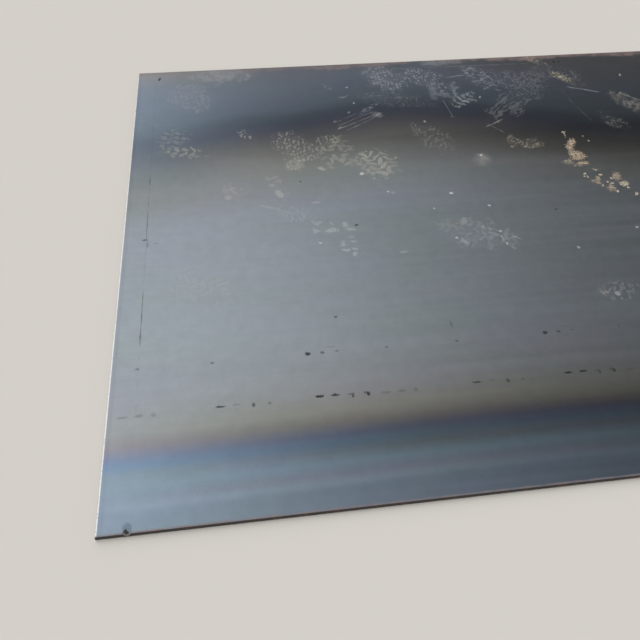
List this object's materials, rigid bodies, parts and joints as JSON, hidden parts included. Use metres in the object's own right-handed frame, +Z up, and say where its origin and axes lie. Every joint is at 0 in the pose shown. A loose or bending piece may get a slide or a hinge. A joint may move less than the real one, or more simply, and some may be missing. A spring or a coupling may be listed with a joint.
{
  "type": "steel plate",
  "caption": "Flat hot-rolled steel plate with mill scale, rounded mill edges along its length and sheared ends.",
  "frame": {"origin": "under the middle of the plate, in the plane of its underside", "axes": "+X along the rolling direction, from the end that shows in the picture to the other; +Y across the width, away from the nicked long edge; +Z up, out of the top face"},
  "size_m": [3, 1.5, 0.0125],
  "materials": {
    "mill_scale": "satin"
  },
  "bodies": {
    "root": {"steel_plate": "mill_scale"}
  },
  "joints": []
}
